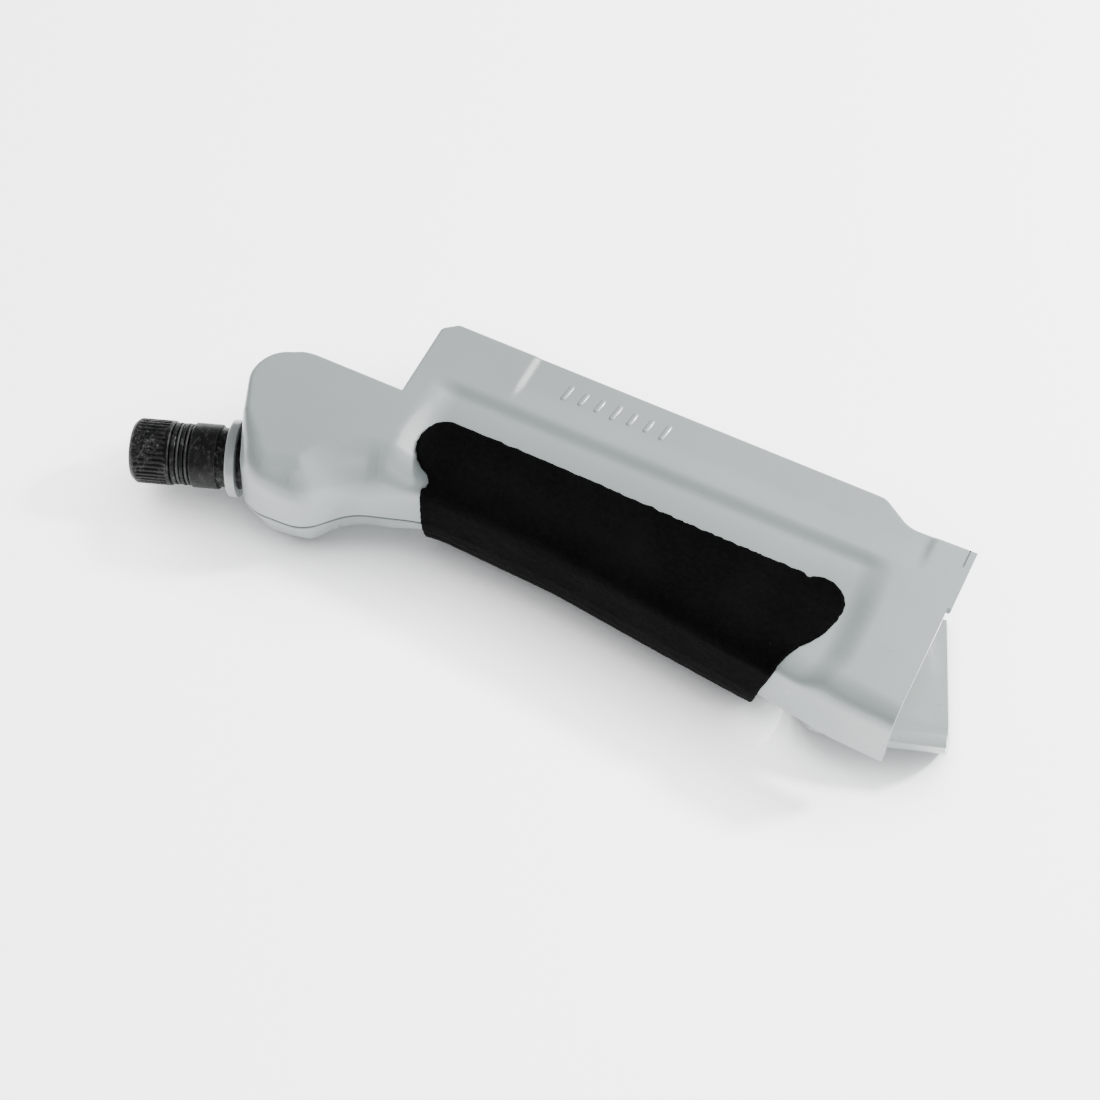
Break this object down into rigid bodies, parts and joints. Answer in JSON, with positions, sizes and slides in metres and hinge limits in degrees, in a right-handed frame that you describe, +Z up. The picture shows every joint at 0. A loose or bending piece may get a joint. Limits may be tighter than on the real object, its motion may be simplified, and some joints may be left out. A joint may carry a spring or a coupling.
{
  "type": "laser handpiece",
  "caption": "Hand-held fibre laser handpiece with an angled knurled focusing nose, two-part moulded body, padded grip, and an open butt with a swivelling tail guide.",
  "frame": {"origin": "on the flat rest face of the lower shell, under the straight rail", "axes": "+X along the rail towards the open butt, +Y towards the rail, +Z up out of the upper shell's face; the nose points to -X and slightly -Y"},
  "size_m": [0.1893, 0.0602, 0.028],
  "materials": {
    "shell_plastic": "satin moulded",
    "pad_foam": "suede-faced foam",
    "black_anodised": "worn black anodising",
    "black_rubber": "matte",
    "optical_glass": "polished and coated",
    "light_plastic": "satin",
    "brass": "machined",
    "steel": "machined"
  },
  "bodies": {
    "handpiece": {"upper_shell": "shell_plastic", "lower_shell": "shell_plastic", "grip_pad": "pad_foam", "nose_flange": "light_plastic", "lens_barrel": "black_anodised", "groove_ring_front": "black_rubber", "groove_ring_rear": "black_rubber", "collimator_retainer": "black_anodised", "collimator_lens": "optical_glass", "spacer_ring": "steel", "ferrule_receptacle": "steel", "fibre_ferrule": "steel", "ferrule_nut": "brass", "ferrule_boot": "black_rubber", "fibre_lead": "black_rubber", "bulkhead_plate": "light_plastic", "bulkhead_coupler": "steel", "coupler_nut": "brass", "front_saddle": "light_plastic", "rear_saddle": "light_plastic", "tail_pivot_screw": "steel", "tail_friction_washer": "steel", "shell_screw_1": "steel", "shell_screw_2": "steel", "shell_screw_3": "steel", "shell_screw_4": "steel", "shell_screw_5": "steel", "threaded_insert_1": "brass", "threaded_insert_2": "brass", "threaded_insert_3": "brass", "threaded_insert_4": "brass", "threaded_insert_5": "brass", "locating_pin_1": "steel", "locating_pin_2": "steel"},
    "focus_ring": {"focus_collar": "black_anodised", "protective_window": "optical_glass", "window_retainer": "black_anodised"},
    "lens_carrier": {"lens_cell": "black_anodised", "objective_lens": "optical_glass", "lens_retainer": "black_anodised"},
    "tail": {"tail_guide": "shell_plastic"}
  },
  "joints": [
    {"name": "focus_turn", "type": "hinge", "parent": "handpiece", "child": "focus_ring", "pos_m": [-0.10086, -0.04126, 0.012], "axis": [-0.9317, -0.3633, 0], "range_deg": [-150, 150]},
    {"name": "lens_travel", "type": "slide", "parent": "handpiece", "child": "lens_carrier", "axis": [-0.9317, -0.3633, 0], "range_m": [-0.0015, 0.0015]},
    {"name": "tail_swivel", "type": "hinge", "parent": "handpiece", "child": "tail", "pos_m": [0.0473, -0.0096, 0], "axis": [0, 0, 1], "range_deg": [-21.5, 0]}
  ],
  "couplings": [
    {"joint": "lens_travel", "follows": "focus_turn", "m_per_rad": 0.00057}
  ]
}
